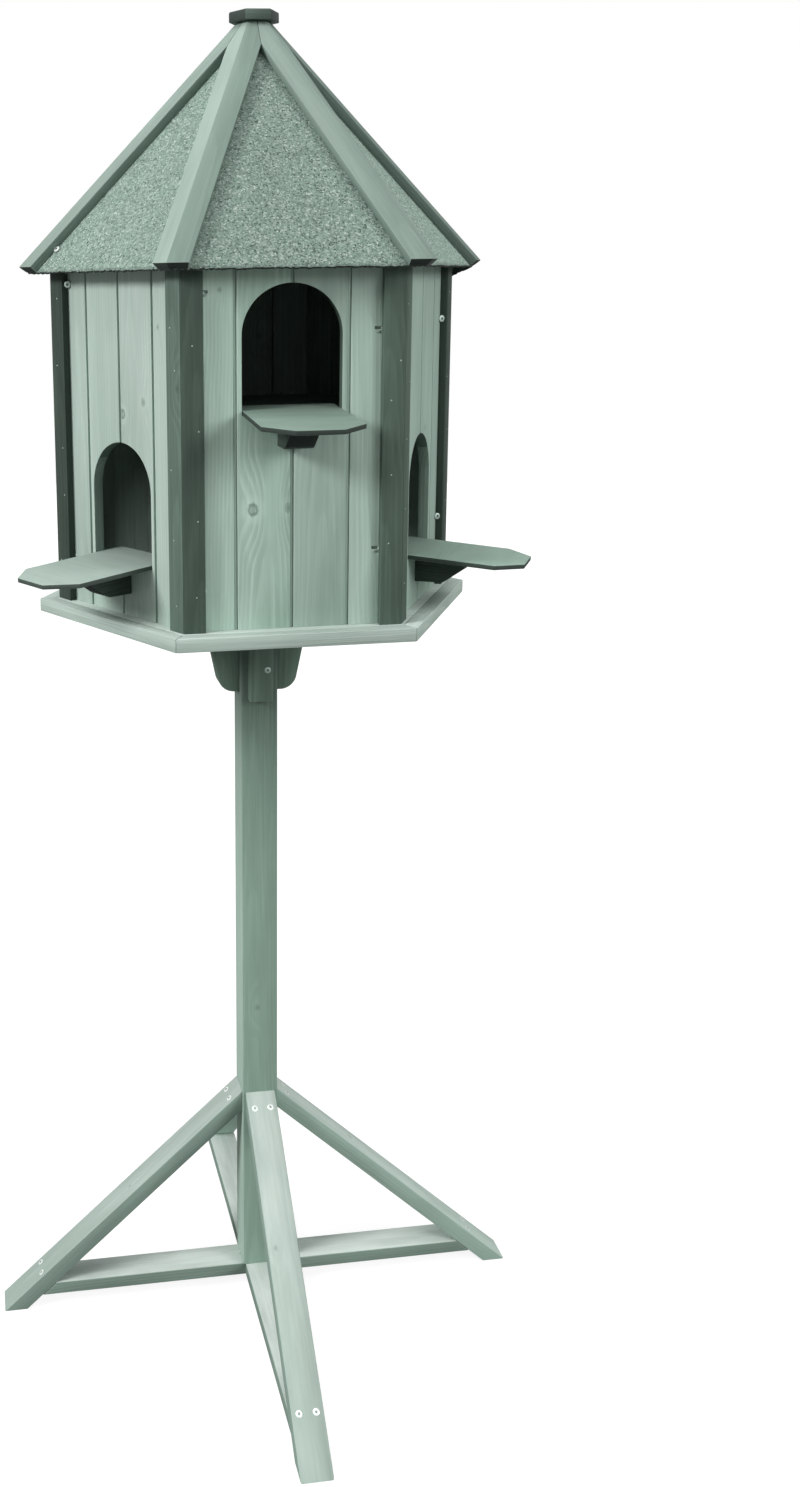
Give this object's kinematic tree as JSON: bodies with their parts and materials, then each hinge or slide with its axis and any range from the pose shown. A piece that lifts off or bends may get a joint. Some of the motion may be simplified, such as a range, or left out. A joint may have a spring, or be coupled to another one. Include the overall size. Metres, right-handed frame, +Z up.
{
  "type": "dovecote",
  "caption": "Hexagonal wooden pigeon house with arched holes and landing boards at two levels and a pointed felt roof with hip battens, on a post with raked legs and crossed ties.",
  "frame": {"origin": "on the ground, under the middle of the post", "axes": "+Z up; -Y out of the front wall, which has an upper hole; +X to the right of someone who faces that wall"},
  "size_m": [0.808, 0.808, 1.92],
  "materials": {
    "wall_boards": "grey-green stained tongue-and-groove boards",
    "dark_trim": "dark grey-green stained softwood",
    "roof_batten": "grey-green stained softwood",
    "roofing_felt": "mineral-surfaced bitumen felt",
    "inner_boards": "plain softwood boards, shaded",
    "pale_edging": "pale grey-green stained strip",
    "landing_board": "thin pale grey-green board",
    "stand_timber": "pale grey-green planed softwood",
    "post_timber": "grey-green planed softwood",
    "fixings": "bright zinc-plated screws and pins"
  },
  "bodies": {
    "root": {"cap": "dark_trim", "corner_trim_left": "dark_trim", "corner_trim_left_back": "dark_trim", "corner_trim_left_front": "dark_trim", "corner_trim_right": "dark_trim", "corner_trim_right_back": "dark_trim", "corner_trim_right_front": "dark_trim", "floor_board": "inner_boards", "floor_edging": "pale_edging", "hip_batten_left": "roof_batten", "hip_batten_left_back": "roof_batten", "hip_batten_left_front": "roof_batten", "hip_batten_right": "roof_batten", "hip_batten_right_back": "roof_batten", "hip_batten_right_front": "roof_batten", "leg_back": "stand_timber", "leg_front": "stand_timber", "leg_left": "stand_timber", "leg_right": "stand_timber", "perch_brackets": "dark_trim", "perch_front": "landing_board", "perch_front_left": "landing_board", "perch_front_right": "landing_board", "post": "post_timber", "roof_boards": "inner_boards", "roof_felt": "roofing_felt", "socket_blocks": "post_timber", "socket_cheeks": "post_timber", "tie_front_back": "stand_timber", "tie_left_right": "stand_timber", "upper_floor": "inner_boards", "wall_back": "wall_boards", "wall_back_left": "wall_boards", "wall_back_right": "wall_boards", "wall_front": "wall_boards", "wall_front_left": "wall_boards", "wall_front_right": "wall_boards"}
  },
  "joints": []
}
